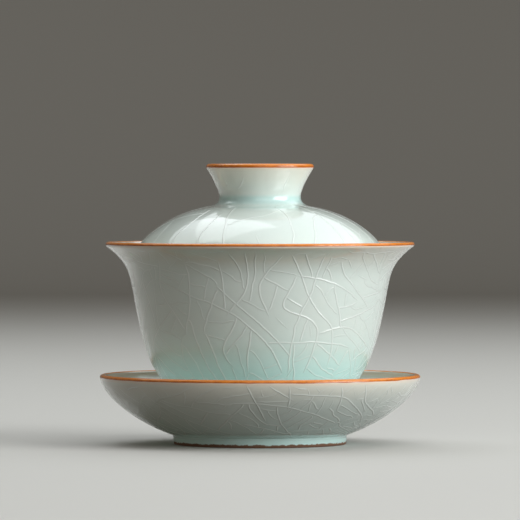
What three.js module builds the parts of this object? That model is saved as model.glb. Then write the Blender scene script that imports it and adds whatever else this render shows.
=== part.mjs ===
// Gaiwan: a lidded tea bowl on its saucer, three turned ceramic pieces that lift apart.
// Millimetres, +Z up. The origin is the centre of the saucer's foot, on the table.
// Each piece has one closed half-section, which level cuts divide into its foot ring, body, knob and bands.
import * as THREE from 'three';

// Driving dimensions
const FACETS = 48;                    // around every turned part
const CURVE_STEPS = 5;                // along each curve of a section
const LIP_STEPS = 4;                  // around each rounded lip

const SAUCER_LIP_RADIUS = 51.9;
const SAUCER_LIP_HEIGHT = 21.6;       // centre of the rounded lip
const SAUCER_LIP_THICKNESS = 1.9;
const SAUCER_FLOOR_THICKNESS = 2.5;   // under the well
const SAUCER_WALL_THICKNESS = 3.4;    // above the foot, thinning towards the lip
const SAUCER_FOOT_RADIUS = 28.3;
const SAUCER_FOOT_WIDTH = 4.3;
const SAUCER_FOOT_HEIGHT = 3.0;
const SAUCER_WELL_RADIUS = 23.9;      // shallow well that keeps the bowl's foot central
const SAUCER_WELL_HEIGHT = 5.2;
const SAUCER_WELL_SLOPE = 1.2;        // width of the step down into the well

const BOWL_LIP_RADIUS = 50.0;
const BOWL_LIP_HEIGHT = 64.6;
const BOWL_LIP_THICKNESS = 1.6;
const BOWL_FLOOR_THICKNESS = 2.6;
const BOWL_FOOT_RADIUS = 22.4;
const BOWL_FOOT_WIDTH = 3.6;
const BOWL_FOOT_HEIGHT = 4.8;
const BOWL_RECESS_HEIGHT = 4.0;       // hollow inside the foot ring

const LID_RADIUS = 41.3;
const LID_EDGE_HEIGHT = 58.3;         // centre of the rounded edge, inside the bowl's flare
const LID_EDGE_THICKNESS = 2.0;
const LID_CROWN_THICKNESS = 2.6;
const KNOB_SEAT_HEIGHT = 78.3;        // level where the knob is joined to the dome
const KNOB_WAIST_RADIUS = 13.25;
const KNOB_WAIST_HEIGHT = 79.95;
const KNOB_LIP_RADIUS = 17.45;
const KNOB_LIP_HEIGHT = 89.75;
const KNOB_LIP_THICKNESS = 1.9;

const BAND_DEPTH = 0.25;              // of an iron-brown band, from the centre of its lip
const BOWL_BAND_DEPTH = 0.5;
const FOOT_CHAMFER = 0.5;
const FOOT_TAPER = 0.4;               // that each side of a foot ring draws in towards the ground
const CUT_CLEARANCE = 0.4;            // from a recess's ceiling or floor to the level cut beside it

const CELADON = new THREE.MeshStandardMaterial({ color: 0xcfe0d8, roughness: 0.15, metalness: 0 });
const IRON_BROWN = new THREE.MeshStandardMaterial({ color: 0xc8782f, roughness: 0.2, metalness: 0 });
const BARE_CLAY = new THREE.MeshStandardMaterial({ color: 0x9a7458, roughness: 0.75, metalness: 0 });

const at = (radius, height) => new THREE.Vector2(radius, height);

// A point a distance away from another, in a direction given in degrees above the horizontal.
function away(from, degrees, distance) {
  const angle = THREE.MathUtils.degToRad(degrees);
  return at(from.x + distance * Math.cos(angle), from.y + distance * Math.sin(angle));
}

// A curve that leaves one point and arrives at another in given directions, in degrees.
function bend(start, startDegrees, startPull, end, endDegrees, endPull) {
  const pulledStart = away(start, startDegrees, startPull);
  const pulledEnd = away(end, endDegrees, -endPull);
  return new THREE.CubicBezierCurve(start, pulledStart, pulledEnd, end);
}

// The outer end of a rounded lip's half circle, where the wall arrives in a given direction.
function lipStart(radius, height, thickness, degrees) {
  return away(at(radius - thickness / 2, height), degrees - 90, thickness / 2);
}

// The half circle of a lip, from the outer face round to the inner one.
function lipArc(start, thickness, degrees) {
  const centre = away(start, degrees + 90, thickness / 2);
  return Array.from({ length: LIP_STEPS - 1 }, (_, step) => (
    away(centre, degrees - 90 + (180 * (step + 1)) / LIP_STEPS, thickness / 2)
  ));
}

const outerFace = (curves) => curves.flatMap((curve) => curve.getPoints(CURVE_STEPS));

// The inner face behind an outer one, traced back from its lip, with an evenly changing thickness.
function innerFace(curves, startThickness, lipThickness) {
  const steps = curves.length * CURVE_STEPS;
  const points = curves.flatMap((curve, index) => (
    Array.from({ length: CURVE_STEPS + 1 }, (_, step) => {
      const progress = (index * CURVE_STEPS + step) / steps;
      const thickness = THREE.MathUtils.lerp(startThickness, lipThickness, progress);
      const tangent = curve.getTangent(step / CURVE_STEPS);
      const point = curve.getPoint(step / CURVE_STEPS);
      return at(point.x - tangent.y * thickness, point.y + tangent.x * thickness);
    })
  ));
  return points.reverse();
}

// The underside of a foot: a recess, then a ring that narrows towards its chamfered tread.
function footRing(radius, width, bottom, top, ceiling) {
  const treadOuter = radius - FOOT_TAPER;
  const treadInner = radius - width + FOOT_TAPER;
  return [
    at(0, ceiling),
    at(radius - width, ceiling),
    at(treadInner, bottom + FOOT_CHAMFER),
    at(treadInner + FOOT_CHAMFER, bottom),
    at(treadOuter - FOOT_CHAMFER, bottom),
    at(treadOuter, bottom + FOOT_CHAMFER),
    at(radius, top),
  ];
}

function saucerSection() {
  const lipAngle = 78.5;
  const lip = lipStart(SAUCER_LIP_RADIUS, SAUCER_LIP_HEIGHT, SAUCER_LIP_THICKNESS, lipAngle);
  const underside = [bend(at(SAUCER_FOOT_RADIUS, SAUCER_FOOT_HEIGHT), 20, 13, lip, lipAngle, 6)];
  const ceiling = SAUCER_WELL_HEIGHT - SAUCER_FLOOR_THICKNESS;
  const dish = innerFace(underside, SAUCER_WALL_THICKNESS, SAUCER_LIP_THICKNESS);
  return [
    ...footRing(SAUCER_FOOT_RADIUS, SAUCER_FOOT_WIDTH, 0, SAUCER_FOOT_HEIGHT, ceiling),
    ...outerFace(underside),
    ...lipArc(lip, SAUCER_LIP_THICKNESS, lipAngle),
    ...dish,
    at(SAUCER_WELL_RADIUS + SAUCER_WELL_SLOPE, dish.at(-1).y),
    at(SAUCER_WELL_RADIUS, SAUCER_WELL_HEIGHT),
    at(0, SAUCER_WELL_HEIGHT),
  ];
}

function bowlSection() {
  const lipAngle = 33.5;
  const lip = lipStart(BOWL_LIP_RADIUS, BOWL_LIP_HEIGHT, BOWL_LIP_THICKNESS, lipAngle);
  const hip = at(33.75, BOWL_LIP_HEIGHT - 40.7);
  const throat = at(41.45, BOWL_LIP_HEIGHT - 13.5);
  const footTop = SAUCER_WELL_HEIGHT + BOWL_FOOT_HEIGHT;
  const faces = [
    bend(at(BOWL_FOOT_RADIUS, footTop), 22, 6, hip, 58.5, 6.5),
    bend(hip, 58.5, 8, throat, 79.4, 9.8),
    bend(throat, 79.4, 3.9, lip, lipAngle, 8.1),
  ];
  const inside = innerFace(faces, BOWL_FLOOR_THICKNESS, BOWL_LIP_THICKNESS);
  const ceiling = SAUCER_WELL_HEIGHT + BOWL_RECESS_HEIGHT;
  const floor = bend(inside.at(-1), 202, 5, at(0, ceiling + BOWL_FLOOR_THICKNESS), 180, 9);
  return [
    ...footRing(BOWL_FOOT_RADIUS, BOWL_FOOT_WIDTH, SAUCER_WELL_HEIGHT, footTop, ceiling),
    ...outerFace(faces),
    ...lipArc(lip, BOWL_LIP_THICKNESS, lipAngle),
    ...inside,
    ...floor.getPoints(CURVE_STEPS),
  ];
}

function lidSection() {
  const knobAngle = 58.4;
  const edge = at(LID_RADIUS, LID_EDGE_HEIGHT);
  const crease = at(17.4, KNOB_SEAT_HEIGHT - 1.5);
  const waist = at(KNOB_WAIST_RADIUS, KNOB_WAIST_HEIGHT);
  const knobLip = lipStart(KNOB_LIP_RADIUS, KNOB_LIP_HEIGHT, KNOB_LIP_THICKNESS, knobAngle);
  const dome = [bend(edge, 90, 8.4, crease, 169.6, 11.3)];
  const neck = bend(crease, 169.5, 3.1, waist, 90, 1.5);
  const knob = [bend(waist, 90, 2.5, knobLip, knobAngle, 4)];
  const underside = innerFace(dome, LID_EDGE_THICKNESS, LID_CROWN_THICKNESS);
  const crown = at(0, KNOB_SEAT_HEIGHT - CUT_CLEARANCE - LID_CROWN_THICKNESS);
  const hollow = innerFace(knob, LID_CROWN_THICKNESS, KNOB_LIP_THICKNESS);
  const hollowFloor = KNOB_SEAT_HEIGHT - CUT_CLEARANCE;
  return [
    ...bend(crown, 0, 7, underside[0], -10.5, 5).getPoints(CURVE_STEPS),
    ...underside,
    ...lipArc(at(LID_RADIUS - LID_EDGE_THICKNESS, LID_EDGE_HEIGHT), LID_EDGE_THICKNESS, -90),
    ...outerFace(dome),
    ...neck.getPoints(CURVE_STEPS),
    ...outerFace(knob),
    ...lipArc(knobLip, KNOB_LIP_THICKNESS, knobAngle),
    ...hollow,
    at(hollow.at(-1).x - 0.6, hollowFloor),
    at(0, hollowFloor),
  ];
}

// The stretch of a section between two levels. A stretch that keeps off the axis is closed on itself.
function between(section, low, high) {
  const outline = [];
  const add = (point) => {
    if (!outline.length || outline.at(-1).distanceTo(point) > 1e-4) outline.push(point);
  };
  section.forEach((point, index) => {
    if (point.y >= low && point.y <= high) add(point);
    const next = section[index + 1];
    if (!next) return;
    const crossed = [low, high].filter((level) => (point.y - level) * (next.y - level) < 0);
    crossed.sort((a, b) => Math.abs(a - point.y) - Math.abs(b - point.y));
    crossed.forEach((level) => {
      const share = (level - point.y) / (next.y - point.y);
      add(at(THREE.MathUtils.lerp(point.x, next.x, share), level));
    });
  });
  if (outline[0].x > 0) outline.push(outline[0].clone());
  return outline;
}

// A section's stretch turned about the upright axis, as one named part.
function turned(name, outline, material) {
  const geometry = new THREE.LatheGeometry(outline, FACETS);
  geometry.rotateX(Math.PI / 2);
  const mesh = new THREE.Mesh(geometry, material);
  mesh.name = name;
  return mesh;
}

function saucer() {
  const section = saucerSection();
  const footCut = SAUCER_WELL_HEIGHT - SAUCER_FLOOR_THICKNESS - CUT_CLEARANCE;
  const bandCut = SAUCER_LIP_HEIGHT - BAND_DEPTH;
  return new THREE.Group().add(
    turned('saucer_foot_ring', between(section, 0, footCut), BARE_CLAY),
    turned('saucer_dish', between(section, footCut, bandCut), CELADON),
    turned('saucer_rim_band', between(section, bandCut, Infinity), IRON_BROWN),
  );
}

function bowl() {
  const section = bowlSection();
  const footCut = SAUCER_WELL_HEIGHT + BOWL_RECESS_HEIGHT - CUT_CLEARANCE;
  const bandCut = BOWL_LIP_HEIGHT - BOWL_BAND_DEPTH;
  return new THREE.Group().add(
    turned('bowl_foot_ring', between(section, 0, footCut), BARE_CLAY),
    turned('bowl_wall', between(section, footCut, bandCut), CELADON),
    turned('bowl_rim_band', between(section, bandCut, Infinity), IRON_BROWN),
  );
}

function lid() {
  const section = lidSection();
  const edgeCut = LID_EDGE_HEIGHT + BAND_DEPTH;
  const bandCut = KNOB_LIP_HEIGHT - BAND_DEPTH;
  return new THREE.Group().add(
    turned('lid_edge_band', between(section, 0, edgeCut), IRON_BROWN),
    turned('lid_dome', between(section, edgeCut, KNOB_SEAT_HEIGHT), CELADON),
    turned('lid_knob', between(section, KNOB_SEAT_HEIGHT, bandCut), CELADON),
    turned('knob_rim_band', between(section, bandCut, Infinity), IRON_BROWN),
  );
}

const gaiwan = new THREE.Group().add(saucer(), bowl(), lid());

export default gaiwan;
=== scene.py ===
import math
import random

import bmesh
import bpy
import numpy as np
from bpy.props import FloatProperty, FloatVectorProperty, IntProperty, PointerProperty
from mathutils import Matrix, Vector, noise
from mathutils.geometry import interpolate_bezier


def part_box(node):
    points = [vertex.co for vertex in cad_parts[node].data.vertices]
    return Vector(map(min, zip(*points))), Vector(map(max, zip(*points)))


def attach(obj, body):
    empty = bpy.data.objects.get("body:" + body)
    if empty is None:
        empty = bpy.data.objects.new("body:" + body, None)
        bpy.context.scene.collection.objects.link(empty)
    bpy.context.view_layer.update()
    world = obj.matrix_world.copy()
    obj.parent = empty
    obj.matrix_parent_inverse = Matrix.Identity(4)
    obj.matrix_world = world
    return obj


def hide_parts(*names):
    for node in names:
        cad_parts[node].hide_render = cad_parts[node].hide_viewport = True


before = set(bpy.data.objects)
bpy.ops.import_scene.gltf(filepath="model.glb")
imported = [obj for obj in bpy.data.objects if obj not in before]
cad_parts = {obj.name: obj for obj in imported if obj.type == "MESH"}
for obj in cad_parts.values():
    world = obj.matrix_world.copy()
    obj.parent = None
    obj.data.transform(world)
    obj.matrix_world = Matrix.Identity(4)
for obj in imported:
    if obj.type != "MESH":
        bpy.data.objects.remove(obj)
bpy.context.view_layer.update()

bl_info = {
    "name": "Gaiwan",
    "version": (1, 0, 0),
    "blender": (4, 5, 0),
    "location": "View3D > Sidebar > Gaiwan",
    "description": "Builds a lidded tea bowl on its saucer, with crackled glaze and painted lips",
    "category": "Object",
}

MM = 0.001
SPIN_STEPS = 192
BEND_STEPS = 22
LIP_STEPS = 12
WELT_FADE_STEPS = 7       # along a crack, where its welt rises from nothing
BROAD_KINKS_PER_M = 130
FINE_KINKS_PER_M = 480
PATCHES_PER_M = 28        # of coarser and finer crackle


# ---------------------------------------------------------------- settings


def length(name, description, default):
    """A size in metres that a user may change."""
    return FloatProperty(
        name=name, description=description, default=default, min=0, precision=5, unit="LENGTH"
    )


def shade(name, description, red, green, blue):
    """A colour given as it looks on screen, from 0 to 255, and kept as linear light."""
    linear = [
        value / 12.92 if value <= 0.04045 else ((value + 0.055) / 1.055) ** 2.4
        for value in (red / 255, green / 255, blue / 255)
    ]
    return FloatVectorProperty(
        name=name, description=description, default=linear, min=0, max=1, size=3, subtype="COLOR"
    )


class SaucerSizes(bpy.types.PropertyGroup):
    lip_radius: length("Lip radius", "Outside of the lip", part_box("saucer_rim_band")[1].x)
    lip_top: length("Lip top", "Height of the lip's highest point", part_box("saucer_rim_band")[1].z)
    lip_thickness: length("Lip thickness", "Across the rounded lip", 1.9 * MM)
    wall_thickness: length("Wall thickness", "Above the foot ring", 3.4 * MM)
    foot_radius: length("Foot radius", "Where the underside meets the foot ring", 28.3 * MM)
    foot_width: length("Foot width", "Across the foot ring at its root", 4.3 * MM)
    foot_height: length("Foot height", "From the table to the underside", 3.0 * MM)
    foot_cut: length("Foot cut", "Height where foot and dish part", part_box("saucer_foot_ring")[1].z)
    well_radius: length("Well radius", "Flat seat of the bowl", 23.9 * MM)
    well_height: length("Well height", "Height of the flat seat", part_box("bowl_foot_ring")[0].z)
    well_slope: length("Well slope", "Width of the step down into the well", 1.2 * MM)


class BowlSizes(bpy.types.PropertyGroup):
    lip_radius: length("Lip radius", "Outside of the lip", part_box("bowl_rim_band")[1].x)
    lip_top: length("Lip top", "Height of the lip's highest point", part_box("bowl_rim_band")[1].z)
    lip_thickness: length("Lip thickness", "Across the rounded lip", 1.6 * MM)
    wall_thickness: length("Wall thickness", "At the foot ring", 2.6 * MM)
    throat_radius: length("Throat radius", "Where the flare begins", 41.45 * MM)
    throat_drop: length("Throat drop", "From the lip down to the throat", 13.5 * MM)
    hip_radius: length("Hip radius", "Where the wall begins to turn in", 33.75 * MM)
    hip_drop: length("Hip drop", "From the lip down to the hip", 40.7 * MM)
    foot_radius: length("Foot radius", "Where the belly meets the foot ring", 22.4 * MM)
    foot_width: length("Foot width", "Across the foot ring at its root", 3.6 * MM)
    foot_height: length("Foot height", "From the tread to the belly", 4.8 * MM)
    foot_cut: length("Foot cut", "Height where foot and wall part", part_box("bowl_foot_ring")[1].z)
    recess_height: length("Recess height", "Hollow inside the foot ring", 4.0 * MM)


class LidSizes(bpy.types.PropertyGroup):
    radius: length("Edge radius", "Outside of the edge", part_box("lid_edge_band")[1].x)
    edge_bottom: length("Edge bottom", "Height of the edge's lowest point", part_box("lid_edge_band")[0].z)
    edge_thickness: length("Edge thickness", "Across the rounded edge", 2.0 * MM)
    crown_thickness: length("Crown thickness", "Of the dome beside the knob", 2.6 * MM)
    crease_radius: length("Crease radius", "Where the dome begins to rise into the knob", 17.4 * MM)
    crease_drop: length("Crease drop", "From the knob's seat down to the crease", 1.5 * MM)
    knob_seat: length("Knob seat", "Height where knob and dome part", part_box("lid_knob")[0].z)
    waist_radius: length("Waist radius", "Narrowest part of the knob", 13.25 * MM)
    waist_rise: length("Waist rise", "From the knob's seat up to its waist", 1.65 * MM)
    knob_lip_radius: length("Knob lip radius", "Outside of the knob's lip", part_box("knob_rim_band")[1].x)
    knob_lip_top: length("Knob lip top", "Height of the whole object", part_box("knob_rim_band")[1].z)
    knob_lip_thickness: length("Knob lip thickness", "Across the knob's lip", 1.9 * MM)


class GlazeSettings(bpy.types.PropertyGroup):
    body: shade("Body", "Glaze of ordinary thickness", 221, 231, 225)
    # Partly real, partly painted light: thick glaze gathers bluer here, and this colour is also lighter than
    # the body to paint in light bounced up from the saucer.
    pool: shade("Pool", "Glaze that has gathered thickly", 202, 236, 232)
    thin: shade("Thin", "Glaze that has run thin below a lip", 238, 222, 203)
    # Painted shade: the darker tint laid along both feet of each welt, standing in for the shadow beside the
    # raised line.
    edge: shade("Edge", "Beside a healed crack", 158, 186, 180)
    core: shade("Crack line", "Pale line along the top of a welt", 240, 246, 242)
    welt_width: length("Welt width", "Across the raised line that a healed crack leaves", 0.72 * MM)
    welt_height: length("Welt height", "Of that line above the glaze", 0.082 * MM)
    seed: IntProperty(name="Seed", description="Chooses another crackle of the same kind", default=7, min=1)


class RimSettings(bpy.types.PropertyGroup):
    # Painted highlight and shade: the light colour paints the lit crest of each rounded lip, the dark one
    # the band below it.
    light: shade("Light iron brown", "Where the painted band is thin", 236, 140, 52)
    dark: shade("Dark iron brown", "Where the painted band is thick", 184, 90, 8)
    clay: shade("Bare clay", "Unglazed tread of a foot ring", 128, 92, 70)
    coat: length("Coat", "Thickness of the painted band", 0.07 * MM)
    waver: length("Waver", "How far the brushed edge strays", 0.12 * MM)


class StudioSettings(bpy.types.PropertyGroup):
    lens: FloatProperty(
        name="Lens", description="Focal length on a 36 mm sensor", default=360, unit="CAMERA"
    )
    distance: length("Distance", "From the camera to the object's axis", 1.684)
    eye_height: length("Eye height", "Of the camera above the table", 85.5 * MM)
    aim_height: length("Aim height", "Point on the axis that the camera looks at", 59.6 * MM)
    floor: shade("Floor", "Pale table and backdrop", 206, 204, 200)


# ---------------------------------------------------------------- sections


def polar(degrees, distance):
    """A step of a given length in a direction above the horizontal."""
    angle = math.radians(degrees)
    return Vector((distance * math.cos(angle), distance * math.sin(angle)))


def bend(start, start_degrees, start_pull, end, end_degrees, end_pull, steps=BEND_STEPS):
    """Points of a curve that leaves one point and reaches another in given directions. Pulls are in mm."""
    leaving = start + polar(start_degrees, start_pull * MM)
    arriving = end - polar(end_degrees, end_pull * MM)
    return interpolate_bezier(start, leaving, arriving, end, steps + 1)


def arc(centre, radius, start_degrees, end_degrees, steps=LIP_STEPS):
    """Points round part of a circle, ends included."""
    turn = (end_degrees - start_degrees) / steps
    return [centre + polar(start_degrees + turn * step, radius) for step in range(steps + 1)]


def joined(*runs):
    """Runs of points as one, without the doubles where they meet."""
    points = []
    for point in (point for run in runs for point in run):
        if not points or (point - points[-1]).length > 1e-6:
            points.append(point)
    return points


def inner_face(outer, start_thickness, end_thickness):
    """The face behind an outer one, traced back from its end, with an evenly changing thickness."""
    points = []
    for index, point in enumerate(outer):
        before = outer[max(index - 1, 0)]
        after = outer[min(index + 1, len(outer) - 1)]
        along = (after - before).normalized()
        share = index / (len(outer) - 1)
        thickness = start_thickness + (end_thickness - start_thickness) * share
        points.append(point + Vector((-along.y, along.x)) * thickness)
    return points[::-1]


def foot_ring(radius, width, bottom, top, ceiling):
    """A recess, then a ring that narrows towards its rounded tread."""
    taper, edge = 0.4 * MM, 0.5 * MM
    outer = radius - taper
    inner = radius - width + taper
    return joined(
        [Vector((0, ceiling)), Vector((radius - width - edge, ceiling))],
        arc(Vector((radius - width - edge, ceiling - edge)), edge, 90, 0, 4),
        arc(Vector((inner + edge, bottom + edge)), edge, 180, 270, 5),
        arc(Vector((outer - edge, bottom + edge)), edge, 270, 360, 5),
        [Vector((radius, top))],
    )


class Turning:
    """The section of one turned piece: its outer face, rounded lip and inner face, from foot to middle."""

    def __init__(self, foot, outer, lip_centre, lip_thickness, lip_degrees, inner, middle):
        self.outer = outer
        self.inner = inner
        self.lip_centre = lip_centre
        lip = arc(lip_centre, lip_thickness / 2, lip_degrees - 90, lip_degrees + 90)
        self.outline = joined(foot, outer, lip, inner, middle)


def lip_start(centre, thickness, degrees):
    """Where an outer face that rises at so many degrees runs into its rounded lip."""
    return centre + polar(degrees - 90, thickness / 2)


def saucer_turning(sizes):
    """The saucer's section."""
    degrees = 78.5
    centre = Vector((sizes.lip_radius, sizes.lip_top)) - Vector((1, 1)) * sizes.lip_thickness / 2
    lip = lip_start(centre, sizes.lip_thickness, degrees)
    outer = bend(Vector((sizes.foot_radius, sizes.foot_height)), 20, 13, lip, degrees, 6, 40)
    inner = inner_face(outer, sizes.wall_thickness, sizes.lip_thickness)
    ceiling = sizes.foot_cut + 0.4 * MM
    shoulder = Vector((sizes.well_radius + sizes.well_slope, inner[-1].y))
    well = Vector((sizes.well_radius, sizes.well_height))
    middle = joined(
        bend(inner[-1], 200, 1, shoulder, 180, 0.5, 4),
        bend(shoulder, 200, 0.4, well, 180, 0.5, 6),
        [Vector((0, sizes.well_height))],
    )
    foot = foot_ring(sizes.foot_radius, sizes.foot_width, 0, sizes.foot_height, ceiling)
    return Turning(foot, outer, centre, sizes.lip_thickness, degrees, inner, middle)


def bowl_turning(sizes, seat):
    """The bowl's section, standing on its seat in the saucer."""
    degrees = 33.5
    centre = Vector((sizes.lip_radius, sizes.lip_top)) - Vector((1, 1)) * sizes.lip_thickness / 2
    lip = lip_start(centre, sizes.lip_thickness, degrees)
    hip = Vector((sizes.hip_radius, centre.y - sizes.hip_drop))
    throat = Vector((sizes.throat_radius, centre.y - sizes.throat_drop))
    foot_top = seat + sizes.foot_height
    outer = joined(
        bend(Vector((sizes.foot_radius, foot_top)), 22, 6, hip, 58.5, 6.5),
        bend(hip, 58.5, 8, throat, 79.4, 9.8),
        bend(throat, 79.4, 3.9, lip, degrees, 8.1),
    )
    inner = inner_face(outer, sizes.wall_thickness, sizes.lip_thickness)
    ceiling = seat + sizes.recess_height
    middle = bend(inner[-1], 202, 5, Vector((0, ceiling + sizes.wall_thickness)), 180, 9, 12)
    foot = foot_ring(sizes.foot_radius, sizes.foot_width, seat, foot_top, ceiling)
    return Turning(foot, outer, centre, sizes.lip_thickness, degrees, inner, middle)


def lid_section(sizes):
    """The lid's underside, edge, dome and neck, then the knob's outside, lip and hollow."""
    centre = Vector((sizes.radius - sizes.edge_thickness / 2, sizes.edge_bottom + sizes.edge_thickness / 2))
    edge = centre + Vector((sizes.edge_thickness / 2, 0))
    crease = Vector((sizes.crease_radius, sizes.knob_seat - sizes.crease_drop))
    waist = Vector((sizes.waist_radius, sizes.knob_seat + sizes.waist_rise))
    degrees = 58.4
    knob_centre = Vector((sizes.knob_lip_radius, sizes.knob_lip_top))
    knob_centre -= Vector((1, 1)) * sizes.knob_lip_thickness / 2
    knob_lip = lip_start(knob_centre, sizes.knob_lip_thickness, degrees)
    dome = bend(edge, 90, 8.4, crease, 169.6, 11.3, 48)
    neck = bend(crease, 169.6, 3.1, waist, 90, 1.5, 16)
    knob = bend(waist, 90, 2.5, knob_lip, degrees, 4)
    under = inner_face(dome, sizes.edge_thickness, sizes.crown_thickness)
    hollow_floor = sizes.knob_seat - 0.4 * MM
    crown = Vector((0, hollow_floor - sizes.crown_thickness))
    hollow = inner_face(knob, sizes.crown_thickness, sizes.knob_lip_thickness)
    floor_edge = Vector((hollow[-1].x - 1.6 * MM, hollow_floor))
    return {
        "edge_centre": centre,
        "knob_centre": knob_centre,
        "under": joined(bend(crown, 0, 7, under[0], -10.5, 5, 16), under),
        "edge": arc(centre, sizes.edge_thickness / 2, 180, 360),
        "dome": joined(dome, neck),
        "knob": knob,
        "knob_lip": arc(knob_centre, sizes.knob_lip_thickness / 2, degrees - 90, degrees + 90),
        "hollow": joined(hollow, bend(hollow[-1], 270, 1.2, floor_edge, 180, 1, 6)),
        "hollow_floor": [Vector((0, hollow_floor))],
    }


def between(outline, low=-math.inf, high=math.inf):
    """The stretch of a section between two levels. A stretch that keeps off the axis is a closed ring."""
    kept = []
    for point, following in zip(outline, outline[1:] + [None]):
        if low - 1e-9 <= point.y <= high + 1e-9:
            kept.append(point)
        if following is None:
            continue
        crossed = [level for level in (low, high) if (point.y - level) * (following.y - level) < 0]
        for level in sorted(crossed, key=lambda level: abs(level - point.y)):
            kept.append(point.lerp(following, (level - point.y) / (following.y - point.y)))
    return joined(kept)


# ---------------------------------------------------------------- meshes


def finished(name, mesh, material, body, replaced=()):
    """A bmesh as a smooth piece that rides on its body and stands for its frame nodes."""
    data = bpy.data.meshes.new(name)
    mesh.to_mesh(data)
    mesh.free()
    data.polygons.foreach_set("use_smooth", [True] * len(data.polygons))
    data.set_sharp_from_angle(angle=math.radians(35))
    data.materials.append(material)
    piece = bpy.data.objects.new(name, data)
    bpy.context.scene.collection.objects.link(piece)
    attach(piece, body)
    if replaced:
        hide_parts(*replaced)
    return piece


def turned(outline, steps=SPIN_STEPS):
    """A section spun about the upright axis. One that keeps off the axis is closed into a ring first."""
    mesh = bmesh.new()
    ring = [mesh.verts.new((point.x, 0, point.y)) for point in outline]
    edges = [mesh.edges.new(pair) for pair in zip(ring, ring[1:])]
    if outline[0].x > 0:
        edges.append(mesh.edges.new((ring[-1], ring[0])))
    bmesh.ops.spin(
        mesh,
        geom=ring + edges,
        cent=(0, 0, 0),
        axis=(0, 0, 1),
        angle=math.tau,
        steps=steps,
        use_merge=True,
    )
    bmesh.ops.remove_doubles(mesh, verts=mesh.verts, dist=1e-6)
    bmesh.ops.recalc_face_normals(mesh, faces=mesh.faces)
    return mesh


def mark(piece, **fields):
    """Writes fields of a glazed piece's points, each worked out from their radius and height."""
    points = np.empty(len(piece.data.vertices) * 3, np.float32)
    piece.data.vertices.foreach_get("co", points)
    points = points.reshape(-1, 3).astype(float)
    radius = np.hypot(points[:, 0], points[:, 1])
    for name, field in fields.items():
        values = np.clip(field(radius, points[:, 2]), 0, 1)
        layer = piece.data.attributes.new(name, "FLOAT", "POINT")
        layer.data.foreach_set("value", values.astype(np.float32))


def ramp(value, start, end):
    """0 at start and 1 at end, smooth between them."""
    share = np.clip((value - start) / (end - start), 0, 1)
    return share * share * (3 - 2 * share)


# ---------------------------------------------------------------- crackle


class Skin:
    """One face of a turned wall, as a map from azimuth and distance along the section into space.

    Azimuth 0 faces the camera and grows to the right."""

    def __init__(self, points):
        self.radius = np.array([point.x for point in points])
        self.height = np.array([point.y for point in points])
        steps = np.hypot(np.diff(self.radius), np.diff(self.height))
        self.along = np.concatenate(([0], np.cumsum(steps)))
        self.lean_out = np.gradient(self.height, self.along)
        self.lean_up = -np.gradient(self.radius, self.along)
        self.length = self.along[-1]

    def radius_at(self, along):
        return np.interp(along, self.along, self.radius)

    def along_at(self, height):
        """Distance along the section at a height, on a face that only rises or only falls."""
        rising = self.height[-1] > self.height[0]
        heights = self.height if rising else self.height[::-1]
        alongs = self.along if rising else self.along[::-1]
        return float(np.interp(height, heights, alongs))

    def place(self, azimuth, along, lift=0.0):
        radius = self.radius_at(along) + lift * np.interp(along, self.along, self.lean_out)
        height = np.interp(along, self.along, self.height)
        height = height + lift * np.interp(along, self.along, self.lean_up)
        return np.stack(
            np.broadcast_arrays(radius * np.sin(azimuth), -radius * np.cos(azimuth), height), axis=-1
        )


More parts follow.
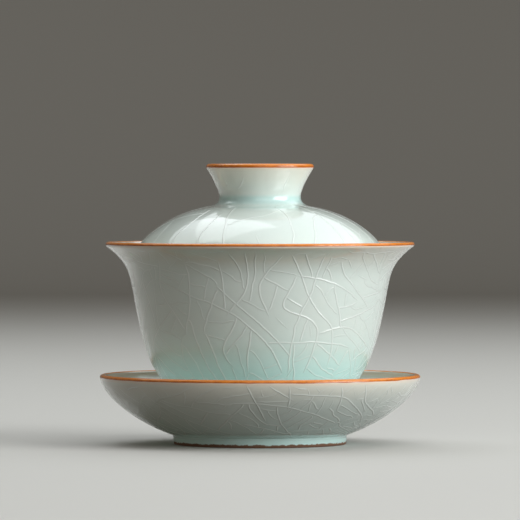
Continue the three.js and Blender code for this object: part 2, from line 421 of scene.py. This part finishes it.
class Crackle:
    """A net of cracks in a glaze. Each new crack starts in the widest gap and stops at the older ones."""

    STEP = 0.5 * MM
    FEWEST_STEPS = 4          # of a crack that is kept
    SEEDS = 7000              # places where a crack may start
    END_REACH = 4.5 * MM      # a drawn crack runs on this far to meet another
    STIFFNESS = 7             # of a drawn crack: the more, the straighter it runs between its stations
    LONG_SHARE = 0.8          # of the grown cracks run until they meet another
    LONGEST = 40 * MM
    SWAY = 28                 # typical bend of a grown crack, in radians per metre
    VEER = 0.06               # typical new stray of its heading at each step, in radians
    VEER_KEPT = 0.8           # of the stray before it
    TURN_REACH = 2.2 * MM     # from an older crack, where a new one begins to turn square to it
    TURN_WITHIN = 70          # degrees off square, beyond which it passes by
    TURN_SHARE = 0.16         # of what it is off square, at each step
    BARE_ROOM = 60 * MM       # taken as the gap where there is no crack yet

    def __init__(self, skin, margins, seed):
        self.skin = skin
        self.low = margins[0]
        self.high = skin.length - margins[1]
        self.random = random.Random(seed)
        self.cloud = np.empty((0, 3))
        self.spots = np.empty((0, 2))
        self.cracks = []      # each a path, which of its ends fade out, and how strongly it shows

    def nearest(self, azimuth, along):
        """Distance to the nearest older crack, and where on the skin that is."""
        if not len(self.cloud):
            return math.inf, None
        gaps = np.linalg.norm(self.cloud - self.skin.place(azimuth, along), axis=1)
        index = int(gaps.argmin())
        return gaps[index], self.spots[index]

    def bearing(self, azimuth, along, spot):
        """Direction on the skin from a place to a spot."""
        turn = (spot[0] - azimuth + math.pi) % math.tau - math.pi
        return math.atan2(spot[1] - along, turn * float(self.skin.radius_at(along)))

    def keep(self, path, tapers):
        """Takes a path into the net. tapers says which of its ends fade out."""
        if len(path) < self.FEWEST_STEPS:
            return
        path = np.array(path, float)
        self.cracks.append((path, tapers, self.random.uniform(0.6, 1)))
        self.spots = np.concatenate((self.spots, path))
        self.cloud = np.concatenate((self.cloud, self.skin.place(path[:, 0], path[:, 1])))

    def arm(self, azimuth, along, heading, sway, reach):
        """Places along one arm of a crack, and whether it fades out before it meets anything."""
        places = []
        veer = 0
        for _ in range(int(reach / self.STEP)):
            veer = self.VEER_KEPT * veer + self.random.gauss(0, self.VEER)
            azimuth += math.cos(heading + veer) * self.STEP / float(self.skin.radius_at(along))
            along += math.sin(heading + veer) * self.STEP
            if not self.low < along < self.high:
                return places, True
            gap, spot = self.nearest(azimuth, along)
            if gap < self.STEP:
                turn = (spot[0] - azimuth + math.pi) % math.tau - math.pi
                places.append((azimuth + turn, spot[1]))
                return places, False
            places.append((azimuth, along))
            heading += sway * self.STEP
            if gap < self.TURN_REACH:
                off = (self.bearing(azimuth, along, spot) - heading + math.pi) % math.tau - math.pi
                if abs(off) < math.radians(self.TURN_WITHIN):
                    heading += self.TURN_SHARE * off
        return places, True

    def grow(self, azimuth, along, heading, reach):
        """A crack through a place, with an arm each way that bends on its own."""
        sway = self.random.gauss(0, 1) * self.SWAY
        ahead, fades_ahead = self.arm(azimuth, along, heading, sway, reach)
        sway = self.random.gauss(0, 1) * self.SWAY
        behind, fades_behind = self.arm(azimuth, along, heading + math.pi, sway, reach)
        self.keep(behind[::-1] + [(azimuth, along)] + ahead, (fades_behind, fades_ahead))

    def draw_all(self, cracks):
        """Long cracks, each of which runs on to meet another that lies just ahead of its end."""
        paths = [self.drawn(stations) for stations in cracks]
        for index, path in enumerate(paths):
            others = paths[:index] + paths[index + 1:]
            if others:
                self.spots = np.concatenate(others)
                self.cloud = self.skin.place(self.spots[:, 0], self.spots[:, 1])
            path, fades_behind = self.reached(path[::-1])
            path, fades_ahead = self.reached(path[::-1])
            self.cracks.append((path, (fades_behind, fades_ahead), 1))
        drawn = [crack[0] for crack in self.cracks]
        if drawn:
            self.spots = np.concatenate(drawn)
            self.cloud = self.skin.place(self.spots[:, 0], self.spots[:, 1])

    def reached(self, path):
        """A path that runs on to an older crack if one lies just ahead, and whether it fades out instead."""
        heading = self.bearing(*path[-4], path[-1])
        more, fades = self.arm(*path[-1], heading, 0, self.END_REACH)
        return (path, True) if fades else (np.concatenate((path, more)), False)

    def drawn(self, stations):
        """A smooth path through stations given as azimuth in degrees and height in mm."""
        knots = [
            Vector((math.radians(azimuth), self.skin.along_at(height * MM))) for azimuth, height in stations
        ]
        path = []
        for index in range(len(knots) - 1):
            before = knots[max(index - 1, 0)]
            start, end = knots[index], knots[index + 1]
            after = knots[min(index + 2, len(knots) - 1)]
            reach = self.skin.place(*start) - self.skin.place(*end)
            steps = max(2, round(float(np.linalg.norm(reach)) / self.STEP))
            leaving = start + (end - before) / self.STIFFNESS
            arriving = end - (after - start) / self.STIFFNESS
            run = interpolate_bezier(start, leaving, arriving, end, steps + 1)
            path += [tuple(point) for point in (run if index == 0 else run[1:])]
        return np.array(path)

    def fill(self, spacing, lengthwise):
        """Cracks until no gap is wider than spacing, a function of points in space. lengthwise is how often
        a crack runs along its gap instead of across it."""
        chance = np.random.RandomState(self.random.randrange(10**6))
        azimuth = chance.uniform(-math.pi, math.pi, self.SEEDS)
        along = chance.uniform(self.low, self.high, self.SEEDS)
        fair = chance.uniform(0, self.skin.radius.max(), self.SEEDS) < self.skin.radius_at(along)
        azimuth, along = azimuth[fair], along[fair]
        places = self.skin.place(azimuth, along)
        wanted = np.array([spacing(place) for place in places])
        room = np.full(len(places), self.BARE_ROOM)
        counted = 0
        while True:
            for point in self.cloud[counted:]:
                np.minimum(room, np.linalg.norm(places - point, axis=1), out=room)
            counted = len(self.cloud)
            widest = int(np.argmax(room / wanted))
            if room[widest] < wanted[widest]:
                return
            spot = self.nearest(azimuth[widest], along[widest])[1]
            heading = math.pi / 2
            if spot is not None:
                heading = self.bearing(azimuth[widest], along[widest], spot)
            if self.random.random() < lengthwise:
                heading += math.pi / 2
            heading += math.radians(self.random.gauss(0, 16))
            reach = self.LONGEST
            if self.random.random() >= self.LONG_SHARE:
                reach = self.random.uniform(2.5, 6) * MM
            self.grow(azimuth[widest], along[widest], heading, reach)
            room[widest] = min(room[widest], self.STEP)


def strayed(skin, path):
    """A path with small kinks, the same for every path at a place, so that cracks still meet."""
    moves = []
    for place in skin.place(path[:, 0], path[:, 1]):
        broad = noise.noise_vector(Vector(place) * BROAD_KINKS_PER_M) * 0.6 * MM
        fine = noise.noise_vector(Vector(place) * FINE_KINKS_PER_M) * 0.17 * MM
        moves.append(broad + fine)
    moves = np.array(moves)
    return path + np.stack((moves[:, 0] / skin.radius_at(path[:, 1]), moves[:, 1]), axis=1)


def coarseness(place):
    """How wide the crackle's gaps are at a place, as a share of the usual. They are finest on the right."""
    toward_right = max(0, place.x) / max(place.xy.length, 1 * MM)
    patchy = 1 + 0.4 * noise.noise(place * PATCHES_PER_M)
    return patchy * (1 - 0.42 * toward_right)


def welts(skin, cracks, width, height):
    """The raised line over each crack: a slim closed form, sunk a little into the glaze."""
    across = np.array([0, -1, -0.5, 0, 0.5, 1, 0]) * width / 2
    rise = np.array([-1.5, -0.15, 0.55, 1, 0.55, -0.15, -1.5]) * height
    # foot holds the painted shade along both sides of a welt; core is the crack line's own pale colour.
    tints = {"core": np.array([0, 0, 0.7, 1, 0.7, 0, 0]), "foot": np.array([0, 1, 0.5, 0, 0.5, 1, 0])}
    mesh = bmesh.new()
    layers = {name: mesh.verts.layers.float.new(name) for name in tints}
    for path, tapers, strength in cracks:
        path = strayed(skin, path)
        rows = len(path)
        radius = skin.radius_at(path[:, 1])
        forward = np.stack((np.gradient(path[:, 0]) * radius, np.gradient(path[:, 1])), axis=1)
        forward /= np.linalg.norm(forward, axis=1, keepdims=True)
        steps = np.arange(rows)
        rising = np.minimum(1, steps / (WELT_FADE_STEPS if tapers[0] else 1))
        falling = np.minimum(1, steps[::-1] / (WELT_FADE_STEPS if tapers[1] else 1))
        body = strength * rising * falling
        side = np.outer(np.sqrt(body), across)
        azimuth = path[:, :1] + side * forward[:, 1:] / radius[:, None]
        along = path[:, 1:] - side * forward[:, :1]
        places = skin.place(azimuth, along, np.outer(body, rise))
        grid = bmesh.ops.create_grid(mesh, x_segments=len(across) - 1, y_segments=rows - 1, size=0.5)
        for vert, place in zip(grid["verts"], places.reshape(-1, 3)):
            vert.co = place
        for name, layer in layers.items():
            for vert, value in zip(grid["verts"], np.outer(body, tints[name]).ravel()):
                vert[layer] = value
    bmesh.ops.remove_doubles(mesh, verts=mesh.verts, dist=1e-8)
    return mesh


# ---------------------------------------------------------------- materials


class Nodes:
    """A new material's node tree, with short ways to add and join nodes."""

    def __init__(self, name):
        self.material = bpy.data.materials.new(name)
        self.material.use_nodes = True
        self.tree = self.material.node_tree
        self.tree.nodes.clear()
        self.shader = self.add("ShaderNodeBsdfPrincipled")
        output = self.add("ShaderNodeOutputMaterial")
        self.tree.links.new(self.shader.outputs["BSDF"], output.inputs["Surface"])

    def add(self, kind, **settings):
        node = self.tree.nodes.new(kind)
        for key, value in settings.items():
            setattr(node, key, value)
        return node

    def link(self, source, node, key):
        self.tree.links.new(source, node.inputs[key])

    def field(self, name):
        return self.add("ShaderNodeAttribute", attribute_name=name).outputs["Fac"]

    def noise(self, scale, detail, roughness=0.5):
        """Noise in the object's own space; scale is in lumps per metre."""
        place = self.add("ShaderNodeTexCoord").outputs["Object"]
        texture = self.add("ShaderNodeTexNoise")
        self.link(place, texture, "Vector")
        texture.inputs["Scale"].default_value = scale
        texture.inputs["Detail"].default_value = detail
        texture.inputs["Roughness"].default_value = roughness
        return texture.outputs["Fac"]

    def spread(self, value, low, high, to_low, to_high, smooth=False):
        """A value brought from one range into another."""
        node = self.add("ShaderNodeMapRange", interpolation_type="SMOOTHSTEP" if smooth else "LINEAR")
        self.link(value, node, "Value")
        for key, number in zip(("From Min", "From Max", "To Min", "To Max"), (low, high, to_low, to_high)):
            node.inputs[key].default_value = number
        return node.outputs["Result"]

    def mix(self, share, first, second):
        """Two colours mixed. Each may be a colour or another node's output."""
        node = self.add("ShaderNodeMix", data_type="RGBA")
        self.link(share, node, 0)
        for index, colour in ((6, first), (7, second)):
            if isinstance(colour, bpy.types.NodeSocket):
                self.link(colour, node, index)
            else:
                node.inputs[index].default_value = (*colour, 1)
        return node.outputs[2]

    def times(self, value, factor):
        node = self.add("ShaderNodeMath", operation="MULTIPLY")
        self.link(value, node, 0)
        node.inputs[1].default_value = factor
        return node.outputs[0]

    def plus(self, first, second):
        node = self.add("ShaderNodeMath", operation="ADD")
        self.link(first, node, 0)
        self.link(second, node, 1)
        return node.outputs[0]

    def bump(self, height, distance, strength):
        node = self.add("ShaderNodeBump")
        self.link(height, node, "Height")
        node.inputs["Distance"].default_value = distance
        node.inputs["Strength"].default_value = strength
        return node.outputs["Normal"]


def glaze_material(name, glaze, rims, bare=False):
    """Glossy glaze, bluer where it pools, warmer where it runs thin, with painted shade along the foot of
    each welt, over bare clay if asked. The pooled-glaze colour is also lighter as painted bounce light.
    """
    nodes = Nodes(name)
    cloud = nodes.noise(45, 3)
    colour = nodes.mix(nodes.spread(cloud, 0.35, 0.7, 0, 0.12), glaze.body, glaze.pool)
    # Where glaze gathers: bluer thick glaze, lightened as painted bounce light.
    colour = nodes.mix(nodes.field("pool"), colour, glaze.pool)
    colour = nodes.mix(nodes.field("thin"), colour, glaze.thin)
    # Painted shade along the foot of each welt, in the edge colour.
    colour = nodes.mix(nodes.times(nodes.field("foot"), 0.15), colour, glaze.edge)
    colour = nodes.mix(nodes.times(nodes.field("core"), 0.65), colour, glaze.core)
    roughness = nodes.spread(nodes.noise(160, 2), 0.3, 0.7, 0.16, 0.24)
    if bare:
        ragged = nodes.plus(nodes.field("bare"), nodes.spread(nodes.noise(700, 3), 0, 1, -0.25, 0.25))
        edge = nodes.spread(ragged, 0.45, 0.6, 0, 1, smooth=True)
        grain = nodes.noise(2500, 4, 0.7)
        clay = nodes.mix(grain, rims.clay, [value * 0.6 for value in rims.clay])
        colour = nodes.mix(edge, colour, clay)
        rough_mix = nodes.add("ShaderNodeMix", data_type="FLOAT")
        nodes.link(edge, rough_mix, 0)
        nodes.link(roughness, rough_mix, 2)
        rough_mix.inputs[3].default_value = 0.85
        roughness = rough_mix.outputs[0]
    nodes.link(colour, nodes.shader, "Base Color")
    nodes.link(roughness, nodes.shader, "Roughness")
    nodes.link(nodes.bump(nodes.noise(220, 2), 0.03 * MM, 0.6), nodes.shader, "Normal")
    nodes.shader.inputs["IOR"].default_value = 1.5
    nodes.shader.inputs["Coat Weight"].default_value = 0.0 if bare else 1.0
    nodes.shader.inputs["Coat Roughness"].default_value = 0.03
    nodes.shader.inputs["Subsurface Weight"].default_value = 0.12
    nodes.shader.inputs["Subsurface Radius"].default_value = (0.9, 1.0, 0.95)
    nodes.shader.inputs["Subsurface Scale"].default_value = 1.2 * MM
    return nodes.material


def rim_material(name, rims):
    """Brushed iron brown in streaks, painted lighter toward each lip's crest as a highlight and darker below
    it as shade.
    """
    nodes = Nodes(name)
    streak = nodes.noise(420, 4, 0.6)
    # Painted highlight and shade from the shaded field, broken up by the brush's streaks.
    share = nodes.plus(nodes.field("thick"), nodes.spread(streak, 0.3, 0.7, -0.25, 0.25))
    colour = nodes.mix(nodes.spread(share, 0, 1, 0, 1, smooth=True), rims.light, rims.dark)
    nodes.link(colour, nodes.shader, "Base Color")
    nodes.link(nodes.spread(streak, 0.3, 0.7, 0.14, 0.26), nodes.shader, "Roughness")
    nodes.link(nodes.bump(streak, 0.02 * MM, 0.5), nodes.shader, "Normal")
    nodes.shader.inputs["Coat Weight"].default_value = 0.3
    nodes.shader.inputs["Coat Roughness"].default_value = 0.05
    return nodes.material


def material_of(name, make):
    """A material by name, made the first time that it is asked for."""
    return bpy.data.materials.get(name) or make()


def glaze_of(scene):
    name = "crackled_celadon"
    return material_of(name, lambda: glaze_material(name, scene.gaiwan_glaze, scene.gaiwan_rims))


def foot_glaze_of(scene):
    name = "celadon_over_clay"
    return material_of(name, lambda: glaze_material(name, scene.gaiwan_glaze, scene.gaiwan_rims, bare=True))


def rim_of(scene):
    name = "brushed_iron_brown"
    return material_of(name, lambda: rim_material(name, scene.gaiwan_rims))


# ---------------------------------------------------------------- glaze fields


def run_off(drop):
    """How thin glaze has run at a drop below a lip: nearly bare at first, then a slight warmth."""
    return 0.8 * ramp(drop, 2.2 * MM, 0.9 * MM) + 0.45 * ramp(drop, 10 * MM, 1 * MM)


def saucer_fields(sizes):
    return {
        "thin": lambda radius, height: run_off(sizes.lip_top - height),
        # The saucer's inside takes the pooled-glaze colour: thicker glaze, and painted bounce light.
        "pool": lambda radius, height: 0.9 * ramp(radius, sizes.well_radius + 26 * MM, sizes.well_radius),
    }


def bowl_fields(sizes):
    return {
        "thin": lambda radius, height: run_off(sizes.lip_top - height),
        # The lower bowl takes the pooled-glaze colour: thicker glaze, and painted light bounced up from the
        # saucer.
        "pool": lambda radius, height: 0.95 * ramp(height, sizes.lip_top - 26 * MM, sizes.lip_top - 48 * MM),
    }


def lid_fields(sizes):
    waist = sizes.knob_seat + sizes.waist_rise

    def pool(radius, height):
        near_waist = 1 - ramp(np.abs(height - waist + 0.9 * MM), 0.5 * MM, 2.2 * MM)
        return 0.8 * near_waist * ramp(radius, sizes.waist_radius + 3 * MM, sizes.waist_radius + 1 * MM)

    return {
        "thin": lambda radius, height: run_off(sizes.knob_lip_top - height),
        "pool": pool,
    }


def bare_field(tread):
    return {"bare": lambda radius, height: ramp(height, tread + 1.4 * MM, tread)}


# ---------------------------------------------------------------- operators


class GAIWAN_OT_stage(bpy.types.Operator):
    """Makes the camera, the pale table and the soft lights"""

    bl_idname = "gaiwan.stage"
    bl_label = "Stage"

    def execute(self, context):
        studio = context.scene.gaiwan_studio
        camera = bpy.data.objects.new("camera", bpy.data.cameras.new("camera"))
        camera.data.lens = studio.lens
        camera.data.clip_end = 20
        camera.location = (0, -studio.distance, studio.eye_height)
        aim = Vector((0, 0, studio.aim_height)) - camera.location
        camera.rotation_euler = aim.to_track_quat("-Z", "Y").to_euler()
        context.scene.collection.objects.link(camera)
        context.scene.camera = camera
        self.sweep(context.scene, studio)
        self.softbox(context.scene, "key_light", 62, 19, 1.3, 1.0, 18.5, (0.97, 1, 1))
        self.softbox(context.scene, "front_light", 10, 32, 1.3, 0.9, 2.6, (1, 1, 1))
        self.softbox(context.scene, "top_light", 150, 68, 1.2, 1.65, 9.5, (0.93, 0.98, 1))
        self.softbox(context.scene, "back_light", -138, 60, 1.3, 0.9, 3.3, (0.92, 0.98, 1))
        self.softbox(context.scene, "fill_light", -75, 12, 1.6, 1.0, 0.5, (1, 0.88, 0.7))
        world = bpy.data.worlds.new("world")
        world.use_nodes = True
        background = world.node_tree.nodes["Background"]
        background.inputs["Color"].default_value = (1, 0.9, 0.74, 1)
        background.inputs["Strength"].default_value = 0.1
        context.scene.world = world
        context.scene.view_settings.view_transform = "Standard"
        return {"FINISHED"}

    def sweep(self, scene, studio):
        """A round table that curves up into a wall on all sides, so that it backs every view."""
        flat, curve, wall_top = 2.2, 0.6, 3.0
        turn_up = arc(Vector((flat, curve)), curve, 270, 360, 16)
        profile = joined([Vector((0, 0))], turn_up, [Vector((flat + curve, wall_top))])
        mesh = turned(profile, 96)
        bmesh.ops.reverse_faces(mesh, faces=mesh.faces)
        data = bpy.data.meshes.new("floor")
        mesh.to_mesh(data)
        mesh.free()
        data.polygons.foreach_set("use_smooth", [True] * len(data.polygons))
        nodes = Nodes("floor")
        nodes.shader.inputs["Base Color"].default_value = (*studio.floor, 1)
        nodes.shader.inputs["Roughness"].default_value = 0.7
        data.materials.append(nodes.material)
        floor = bpy.data.objects.new("floor", data)
        floor.visible_diffuse = False
        scene.collection.objects.link(floor)

    def softbox(self, scene, name, azimuth, elevation, distance, size, power, colour):
        """A square soft light that faces the object. Azimuth is to the camera's right, in degrees like the
        elevation, distance and size are in metres, and power is in watts."""
        light = bpy.data.lights.new(name, "AREA")
        light.shape = "SQUARE"
        light.size = size
        light.energy = power
        light.color = colour
        lamp = bpy.data.objects.new(name, light)
        lamp.visible_camera = False
        level = distance * math.cos(math.radians(elevation))
        lamp.location = (
            level * math.sin(math.radians(azimuth)),
            -level * math.cos(math.radians(azimuth)),
            distance * math.sin(math.radians(elevation)),
        )
        aim = Vector((0, 0, 0.05)) - lamp.location
        lamp.rotation_euler = aim.to_track_quat("-Z", "Y").to_euler()
        scene.collection.objects.link(lamp)


class GAIWAN_OT_saucer(bpy.types.Operator):
    """Makes the saucer's dish and its foot ring"""

    bl_idname = "gaiwan.saucer"
    bl_label = "Saucer"

    def execute(self, context):
        sizes = context.scene.gaiwan_saucer
        outline = saucer_turning(sizes).outline
        dish = turned(between(outline, low=sizes.foot_cut))
        glaze = glaze_of(context.scene)
        piece = finished("glazed_dish", dish, glaze, "saucer", ["saucer_dish"])
        mark(piece, **saucer_fields(sizes))
        foot = turned(between(outline, high=sizes.foot_cut))
        material = foot_glaze_of(context.scene)
        piece = finished("saucer_foot", foot, material, "saucer", ["saucer_foot_ring"])
        mark(piece, **saucer_fields(sizes), **bare_field(0))
        return {"FINISHED"}


class GAIWAN_OT_bowl(bpy.types.Operator):
    """Makes the bowl's wall and its foot ring"""

    bl_idname = "gaiwan.bowl"
    bl_label = "Bowl"

    def execute(self, context):
        sizes = context.scene.gaiwan_bowl
        seat = context.scene.gaiwan_saucer.well_height
        outline = bowl_turning(sizes, seat).outline
        wall = turned(between(outline, low=sizes.foot_cut))
        glaze = glaze_of(context.scene)
        piece = finished("glazed_bowl", wall, glaze, "bowl", ["bowl_wall"])
        mark(piece, **bowl_fields(sizes))
        foot = turned(between(outline, high=sizes.foot_cut))
        material = foot_glaze_of(context.scene)
        piece = finished("bowl_foot", foot, material, "bowl", ["bowl_foot_ring"])
        mark(piece, **bowl_fields(sizes), **bare_field(seat))
        return {"FINISHED"}


class GAIWAN_OT_lid(bpy.types.Operator):
    """Makes the lid's dome and its hollow knob"""

    bl_idname = "gaiwan.lid"
    bl_label = "Lid"

    def execute(self, context):
        sizes = context.scene.gaiwan_lid
        section = lid_section(sizes)
        keys = ("under", "edge", "dome", "knob", "knob_lip", "hollow", "hollow_floor")
        outline = joined(*(section[key] for key in keys))
        glaze = glaze_of(context.scene)
        dome = turned(between(outline, high=sizes.knob_seat))
        piece = finished("glazed_dome", dome, glaze, "lid", ["lid_dome"])
        mark(piece, **lid_fields(sizes))
        knob = turned(between(outline, low=sizes.knob_seat))
        piece = finished("glazed_knob", knob, glaze, "lid", ["lid_knob"])
        mark(piece, **lid_fields(sizes))
        return {"FINISHED"}


class GAIWAN_OT_rims(bpy.types.Operator):
    """Paints the iron-brown band round each lip, with a brushed edge"""

    bl_idname = "gaiwan.rims"
    bl_label = "Painted rims"

    def execute(self, context):
        scene = context.scene
        saucer, bowl, lid = scene.gaiwan_saucer, scene.gaiwan_bowl, scene.gaiwan_lid
        dish = saucer_turning(saucer)
        wall = bowl_turning(bowl, saucer.well_height)
        section = lid_section(lid)
        self.band(scene, "saucer_rim_paint", "saucer", "saucer_rim_band", dish.lip_centre,
                  saucer.lip_thickness, 0, 125)
        self.band(scene, "bowl_rim_paint", "bowl", "bowl_rim_band", wall.lip_centre,
                  bowl.lip_thickness, -4, 120)
        self.band(scene, "knob_rim_paint", "lid", "knob_rim_band", section["knob_centre"],
                  lid.knob_lip_thickness, -16, 140)
        self.band(scene, "lid_edge_paint", "lid", "lid_edge_band", section["edge_centre"],
                  lid.edge_thickness, 170, 370)
        return {"FINISHED"}

    def band(self, scene, name, body, node, centre, thickness, start, end):
        """A thin coat round a lip, from one angle to another, that thins to nothing at its edges."""
        rims = scene.gaiwan_rims
        clear, sunk = 0.004 * MM, 0.15 * MM
        brushed_degrees = 40
        radius = thickness / 2
        turn = (end - start) / LIP_STEPS
        outer = []
        for step in range(LIP_STEPS + 1):
            share = step / LIP_STEPS
            lift = rims.coat * min(1, 5 * share, 5 * (1 - share)) + clear
            outer.append(centre + polar(start + turn * step, radius + lift))
        inner = arc(centre, radius - sunk, end, start)
        mesh = turned(joined(outer, inner))
        for vert in mesh.verts:
            off = Vector((math.hypot(vert.co.x, vert.co.y), vert.co.z)) - centre
            angle = math.degrees(math.atan2(off.y, off.x)) % 360
            from_edge = min((angle - start) % 360, (end - angle) % 360)
            pull = max(0, 1 - from_edge / brushed_degrees)
            wave = noise.noise(vert.co * 160) + 0.6 * noise.noise(vert.co * 420)
            vert.co.z += pull * rims.waver * wave
        piece = finished(name, mesh, rim_of(scene), body, [node])
        # Painted highlight and shade: shaded is 0 at the lip's crest and 1 below it, so the band is painted
        # light at the crest and dark lower down.
        up = 1 if start < 90 else -1
        mark(piece, thick=lambda _, height: ramp(up * (height - centre.y), radius, -0.3 * radius))


class GAIWAN_OT_crackle(bpy.types.Operator):
    """Raises the welts of the crackle on every glazed face"""

    bl_idname = "gaiwan.crackle"
    bl_label = "Crackle"

    # Long cracks that are placed one by one, each through azimuths in degrees and heights in mm.
    BOWL_LONG = (
        ((-45, 52), (-15, 44), (5, 32), (12, 24)),
        ((-20, 52), (0, 40), (15, 30)),
        ((12, 62), (24, 47), (36, 38), (38, 26)),
        ((26, 62), (24, 51), (16, 38), (15, 24)),
        ((16, 55), (34, 53), (50, 47)),
        ((35, 60), (42, 54), (60, 44)),
        ((-6, 63), (-6, 52), (-16, 42)),
        ((9, 62), (0, 52), (4, 42)),
        ((4, 54), (14, 50)),
        ((14, 52), (11, 45), (28, 39), (24, 24)),
        ((7, 34), (28, 34), (50, 32)),
        ((28, 37), (48, 38), (68, 32)),
        ((68, 46), (44, 41)),
        ((55, 48), (72, 50)),
        ((36, 49), (41, 39)),
        ((30, 33), (48, 26)),
        ((-46, 60), (-50, 50), (-40, 40)),
        ((-33, 60), (-33, 48), (-38, 36)),
        ((-17, 60), (-16, 49)),
        ((-22, 47), (-28, 36)),
        ((-12, 40), (-18, 31), (-14, 26)),
        ((-5, 36), (-7, 24)),
    )
    SAUCER_LONG = (
        ((-12, 15), (10, 14), (38, 8)),
        ((12, 18), (35, 16), (56, 8)),
        ((-5, 21), (2, 9)),
        ((3, 21), (12, 16)),
        ((10, 21), (11, 13)),
        ((30, 21), (33, 12)),
        ((40, 21), (45, 15), (60, 10)),
    )
    LID_LONG = (
        ((-25, 77), (-22, 73), (-15, 60)),
        ((16, 77), (19, 73), (13, 60)),
        ((-50, 76), (-46, 71), (-50, 60)),
        ((-29, 75), (-33, 60)),
        ((46, 77), (44, 60)),
    )

    def execute(self, context):
        scene = context.scene
        noise.seed_set(scene.gaiwan_glaze.seed)  # noise vectors start from the clock until they get a seed
        saucer, bowl, lid = scene.gaiwan_saucer, scene.gaiwan_bowl, scene.gaiwan_lid
        dish = saucer_turning(saucer)
        wall = bowl_turning(bowl, saucer.well_height)
        section = lid_section(lid)
        on_bowl = {"body": "bowl", "look": bowl_fields(bowl)}
        on_saucer = {"body": "saucer", "look": saucer_fields(saucer)}
        on_lid = {"body": "lid", "look": lid_fields(lid)}
        self.net(scene, "bowl_crackle", wall.outer, (1, 1), 2.5, 0.5, self.BOWL_LONG, **on_bowl)
        self.net(scene, "bowl_inner_crackle", wall.inner, (3, 1), 5.5, 0.3, (), **on_bowl)
        self.net(scene, "saucer_crackle", dish.outer, (1, 1), 2.4, 0.5, self.SAUCER_LONG, **on_saucer)
        self.net(scene, "saucer_inner_crackle", dish.inner, (3, 2), 4.5, 0.3, (), **on_saucer)
        self.net(scene, "lid_crackle", section["dome"], (3, 2), 7.5, 0.75, self.LID_LONG, **on_lid)
        self.net(scene, "knob_crackle", section["knob"], (1, 2), 6.0, 0.8, (), **on_lid)
        self.net(scene, "lid_inner_crackle", section["under"], (4, 2), 6.5, 0.3, (), **on_lid)
        return {"FINISHED"}

    def net(self, scene, name, face, margins, gap, lengthwise, long_cracks, body, look):
        """The welts of one face. Margins are in mm from the start and the end of its section, gap is about
        half a cell's width in mm, and lengthwise is how often a crack runs along its gap."""
        glaze = scene.gaiwan_glaze
        skin = Skin(face)
        crackle = Crackle(skin, [margin * MM for margin in margins], glaze.seed)
        crackle.draw_all(long_cracks)
        crackle.fill(lambda place: gap * MM * coarseness(Vector(place)), lengthwise)
        mesh = welts(skin, crackle.cracks, glaze.welt_width, glaze.welt_height)
        piece = finished(name, mesh, glaze_of(scene), body)
        mark(piece, **look)


class GAIWAN_PT_panel(bpy.types.Panel):
    """Lists the steps that build the gaiwan"""

    bl_idname = "GAIWAN_PT_panel"
    bl_label = "Gaiwan"
    bl_space_type = "VIEW_3D"
    bl_region_type = "UI"
    bl_category = "Gaiwan"

    def draw(self, context):
        for operator in OPERATORS:
            self.layout.operator(operator.bl_idname)


SETTINGS = {
    "gaiwan_saucer": SaucerSizes,
    "gaiwan_bowl": BowlSizes,
    "gaiwan_lid": LidSizes,
    "gaiwan_glaze": GlazeSettings,
    "gaiwan_rims": RimSettings,
    "gaiwan_studio": StudioSettings,
}
OPERATORS = (
    GAIWAN_OT_stage,
    GAIWAN_OT_saucer,
    GAIWAN_OT_bowl,
    GAIWAN_OT_lid,
    GAIWAN_OT_rims,
    GAIWAN_OT_crackle,
)


def register():
    for cls in (*SETTINGS.values(), *OPERATORS, GAIWAN_PT_panel):
        bpy.utils.register_class(cls)
    for name, group in SETTINGS.items():
        setattr(bpy.types.Scene, name, PointerProperty(type=group))


def unregister():
    for name in SETTINGS:
        delattr(bpy.types.Scene, name)
    for cls in (GAIWAN_PT_panel, *OPERATORS[::-1], *SETTINGS.values()):
        bpy.utils.unregister_class(cls)


def main():
    register()
    bpy.ops.gaiwan.stage()
    bpy.ops.gaiwan.saucer()
    bpy.ops.gaiwan.bowl()
    bpy.ops.gaiwan.lid()
    bpy.ops.gaiwan.rims()
    bpy.ops.gaiwan.crackle()


if __name__ == "__main__":
    main()
